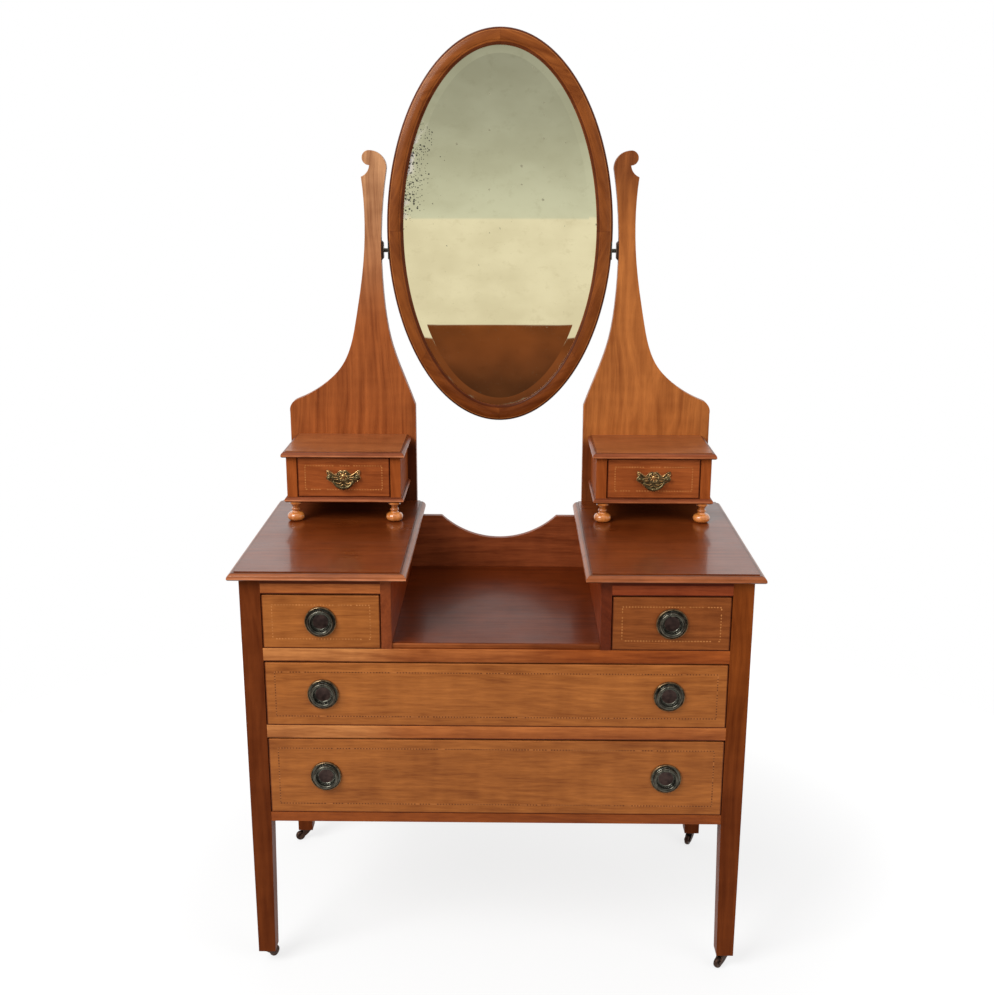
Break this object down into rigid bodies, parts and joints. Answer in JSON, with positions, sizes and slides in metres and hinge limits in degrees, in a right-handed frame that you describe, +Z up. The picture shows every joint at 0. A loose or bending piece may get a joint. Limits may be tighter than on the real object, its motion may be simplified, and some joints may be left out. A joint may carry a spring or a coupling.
{
  "type": "dressing table",
  "caption": "Wooden dressing table with drawer pedestals beside a sunk shelf, long drawers below, trinket boxes on bun feet, and an oval mirror tilting between scrolled standards.",
  "frame": {"origin": "on the floor, under the middle of the table's overall width and depth", "axes": "+X to the right seen from the front, +Y to the back, +Z up; the drawers open towards -Y"},
  "size_m": [0.914, 0.5, 1.693],
  "materials": {
    "case_wood": "satin French polish, red-brown",
    "top_wood": "glossy French polish, dark red-brown",
    "standard_wood": "satin French polish, orange-brown",
    "frame_wood": "satin French polish, red-brown",
    "turned_wood": "glossy polish, golden brown",
    "drawer_wood": "satin French polish, orange-brown",
    "inner_wood": "bare planed pine",
    "dark_bronze": "dark bronzed brass",
    "antique_brass": "aged cast brass",
    "caster_iron": "dark worn iron",
    "mirror_glass": "old bevelled mirror glass with foxing"
  },
  "bodies": {
    "case": {"front_legs": "case_wood", "rear_legs": "case_wood", "side_panels": "case_wood", "bottom_rail": "case_wood", "lower_rail": "case_wood", "middle_rail": "case_wood", "top_rails": "case_wood", "recess_sides": "case_wood", "recess_shelf": "case_wood", "recess_back": "case_wood", "pedestal_tops": "top_wood", "trinket_tops": "top_wood", "trinket_bases": "top_wood", "trinket_sides": "top_wood", "back_panel": "inner_wood", "pedestal_backs": "inner_wood", "drawer_runners": "inner_wood", "drawer_stops": "inner_wood", "mirror_standards": "standard_wood", "trinket_feet": "turned_wood", "pivot_brackets": "dark_bronze", "caster_plates": "caster_iron"},
    "mirror": {"mirror_frame": "frame_wood", "mirror_glass": "mirror_glass", "mirror_backboard": "inner_wood", "mirror_pivots": "dark_bronze"},
    "lower_drawer": {"lower_drawer_front": "drawer_wood", "lower_drawer_box": "inner_wood", "lower_drawer_plates": "dark_bronze"},
    "lower_drawer_ring_left": {"lower_drawer_ring_left": "dark_bronze"},
    "lower_drawer_ring_right": {"lower_drawer_ring_right": "dark_bronze"},
    "upper_drawer": {"upper_drawer_front": "drawer_wood", "upper_drawer_box": "inner_wood", "upper_drawer_plates": "dark_bronze"},
    "upper_drawer_ring_left": {"upper_drawer_ring_left": "dark_bronze"},
    "upper_drawer_ring_right": {"upper_drawer_ring_right": "dark_bronze"},
    "left_drawer": {"left_drawer_front": "drawer_wood", "left_drawer_box": "inner_wood", "left_drawer_plates": "dark_bronze"},
    "left_drawer_ring": {"left_drawer_ring": "dark_bronze"},
    "right_drawer": {"right_drawer_front": "drawer_wood", "right_drawer_box": "inner_wood", "right_drawer_plates": "dark_bronze"},
    "right_drawer_ring": {"right_drawer_ring": "dark_bronze"},
    "left_trinket_drawer": {"left_trinket_drawer_front": "drawer_wood", "left_trinket_drawer_box": "inner_wood", "left_trinket_drawer_plate": "antique_brass"},
    "left_trinket_drawer_bail": {"left_trinket_drawer_bail": "antique_brass"},
    "right_trinket_drawer": {"right_trinket_drawer_front": "drawer_wood", "right_trinket_drawer_box": "inner_wood", "right_trinket_drawer_plate": "antique_brass"},
    "right_trinket_drawer_bail": {"right_trinket_drawer_bail": "antique_brass"},
    "caster_fork_front_left": {"caster_fork_front_left": "caster_iron"},
    "caster_wheel_front_left": {"caster_wheel_front_left": "caster_iron"},
    "caster_fork_front_right": {"caster_fork_front_right": "caster_iron"},
    "caster_wheel_front_right": {"caster_wheel_front_right": "caster_iron"},
    "caster_fork_rear_left": {"caster_fork_rear_left": "caster_iron"},
    "caster_wheel_rear_left": {"caster_wheel_rear_left": "caster_iron"},
    "caster_fork_rear_right": {"caster_fork_rear_right": "caster_iron"},
    "caster_wheel_rear_right": {"caster_wheel_rear_right": "caster_iron"}
  },
  "joints": [
    {"name": "mirror_tilt", "type": "hinge", "parent": "case", "child": "mirror", "pos_m": [0, 0.24, 1.28], "axis": [1, 0, 0], "range_deg": [-60, 60]},
    {"name": "lower_drawer_slide", "type": "slide", "parent": "case", "child": "lower_drawer", "axis": [0, -1, 0], "range_m": [0, 0.3]},
    {"name": "lower_drawer_ring_left_lift", "type": "hinge", "parent": "lower_drawer", "child": "lower_drawer_ring_left", "pos_m": [-0.302, -0.2401, 0.408], "axis": [-1, 0, 0], "range_deg": [0, 85]},
    {"name": "lower_drawer_ring_right_lift", "type": "hinge", "parent": "lower_drawer", "child": "lower_drawer_ring_right", "pos_m": [0.302, -0.2401, 0.408], "axis": [-1, 0, 0], "range_deg": [0, 85]},
    {"name": "upper_drawer_slide", "type": "slide", "parent": "case", "child": "upper_drawer", "axis": [0, -1, 0], "range_m": [0, 0.3]},
    {"name": "upper_drawer_ring_left_lift", "type": "hinge", "parent": "upper_drawer", "child": "upper_drawer_ring_left", "pos_m": [-0.302, -0.2401, 0.5655], "axis": [-1, 0, 0], "range_deg": [0, 85]},
    {"name": "upper_drawer_ring_right_lift", "type": "hinge", "parent": "upper_drawer", "child": "upper_drawer_ring_right", "pos_m": [0.302, -0.2401, 0.5655], "axis": [-1, 0, 0], "range_deg": [0, 85]},
    {"name": "left_drawer_slide", "type": "slide", "parent": "case", "child": "left_drawer", "axis": [0, -1, 0], "range_m": [0, 0.29]},
    {"name": "left_drawer_ring_lift", "type": "hinge", "parent": "left_drawer", "child": "left_drawer_ring", "pos_m": [-0.302, -0.2401, 0.7], "axis": [-1, 0, 0], "range_deg": [0, 85]},
    {"name": "right_drawer_slide", "type": "slide", "parent": "case", "child": "right_drawer", "axis": [0, -1, 0], "range_m": [0, 0.29]},
    {"name": "right_drawer_ring_lift", "type": "hinge", "parent": "right_drawer", "child": "right_drawer_ring", "pos_m": [0.302, -0.2401, 0.7], "axis": [-1, 0, 0], "range_deg": [0, 85]},
    {"name": "left_trinket_drawer_slide", "type": "slide", "parent": "case", "child": "left_trinket_drawer", "axis": [0, -1, 0], "range_m": [0, 0.09]},
    {"name": "left_trinket_drawer_bail_lift", "type": "hinge", "parent": "left_trinket_drawer", "child": "left_trinket_drawer_bail", "pos_m": [-0.298, 0.065, 0.861], "axis": [-1, 0, 0], "range_deg": [0, 85]},
    {"name": "right_trinket_drawer_slide", "type": "slide", "parent": "case", "child": "right_trinket_drawer", "axis": [0, -1, 0], "range_m": [0, 0.09]},
    {"name": "right_trinket_drawer_bail_lift", "type": "hinge", "parent": "right_trinket_drawer", "child": "right_trinket_drawer_bail", "pos_m": [0.298, 0.065, 0.861], "axis": [-1, 0, 0], "range_deg": [0, 85]},
    {"name": "caster_swivel_front_left", "type": "hinge", "parent": "case", "child": "caster_fork_front_left", "pos_m": [-0.4245, -0.2175, 0.025], "axis": [0, 0, 1], "continuous": true},
    {"name": "caster_roll_front_left", "type": "hinge", "parent": "caster_fork_front_left", "child": "caster_wheel_front_left", "pos_m": [-0.417, -0.20451, 0.0105], "axis": [-0.866, 0.5, 0], "continuous": true},
    {"name": "caster_swivel_front_right", "type": "hinge", "parent": "case", "child": "caster_fork_front_right", "pos_m": [0.4245, -0.2175, 0.025], "axis": [0, 0, 1], "continuous": true},
    {"name": "caster_roll_front_right", "type": "hinge", "parent": "caster_fork_front_right", "child": "caster_wheel_front_right", "pos_m": [0.41389, -0.22811, 0.0105], "axis": [0.7071, -0.7071, 0], "continuous": true},
    {"name": "caster_swivel_rear_left", "type": "hinge", "parent": "case", "child": "caster_fork_rear_left", "pos_m": [-0.4245, 0.2145, 0.025], "axis": [0, 0, 1], "continuous": true},
    {"name": "caster_roll_rear_left", "type": "hinge", "parent": "caster_fork_rear_left", "child": "caster_wheel_rear_left", "pos_m": [-0.43749, 0.207, 0.0105], "axis": [0.5, -0.866, 0], "continuous": true},
    {"name": "caster_swivel_rear_right", "type": "hinge", "parent": "case", "child": "caster_fork_rear_right", "pos_m": [0.4245, 0.2145, 0.025], "axis": [0, 0, 1], "continuous": true},
    {"name": "caster_roll_rear_right", "type": "hinge", "parent": "caster_fork_rear_right", "child": "caster_wheel_rear_right", "pos_m": [0.417, 0.20151, 0.0105], "axis": [0.866, -0.5, 0], "continuous": true}
  ]
}
